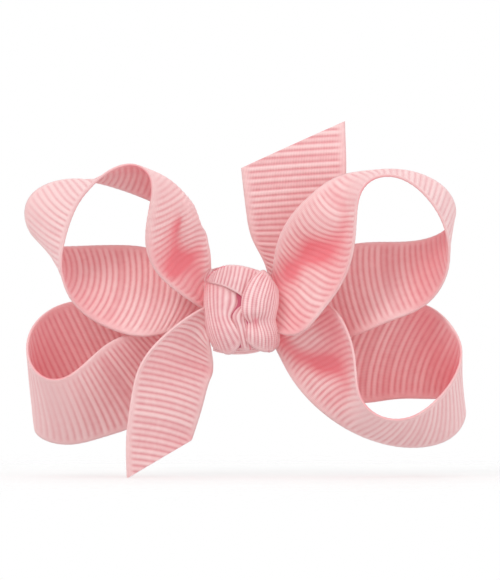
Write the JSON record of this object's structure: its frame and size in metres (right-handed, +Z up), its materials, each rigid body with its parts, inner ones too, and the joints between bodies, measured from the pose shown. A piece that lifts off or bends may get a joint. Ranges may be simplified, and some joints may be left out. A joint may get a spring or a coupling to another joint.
{
  "type": "hair bow",
  "caption": "Looped grosgrain ribbon hair bow with angled tails and a knotted centre, on a hinged, sprung alligator hair clip.",
  "frame": {"origin": "middle of the flat back of the clip's lower arm, at the middle of the bow's width", "axes": "+X across the bow towards the clip's thumb tabs, +Z up as worn, +Y out of the clip's flat back, towards the head"},
  "size_m": [0.0672, 0.0241, 0.0536],
  "materials": {
    "bow_ribbon": "pink woven grosgrain polyester ribbon, cross ribs, matt with a slight sheen, smooth woven edges",
    "knot_ribbon": "narrower pink grosgrain ribbon with finer ribs",
    "thread": "pink polyester sewing thread",
    "glue": "clear to milky hot-melt glue",
    "clip_metal": "bright nickel-plated sheet steel",
    "spring_wire": "drawn steel spring wire"
  },
  "bodies": {
    "bow": {"upper_left_loop": "bow_ribbon", "lower_left_loop": "bow_ribbon", "upper_right_loop": "bow_ribbon", "lower_right_loop": "bow_ribbon", "upper_tail": "bow_ribbon", "lower_tail": "bow_ribbon", "gather_thread": "thread", "knot": "knot_ribbon", "knot_band": "knot_ribbon", "glue_pad": "glue", "upper_arm": "clip_metal", "hinge_pin": "clip_metal", "clip_spring": "spring_wire"},
    "jaw": {"lower_arm": "clip_metal"}
  },
  "joints": [
    {"name": "clip_hinge", "type": "hinge", "parent": "bow", "child": "jaw", "pos_m": [0.009, -0.0018, 0], "axis": [0, 0, -1], "range_deg": [0, 22], "stiffness_Nm_per_rad": 0.05, "deforming": ["clip_spring"]}
  ]
}
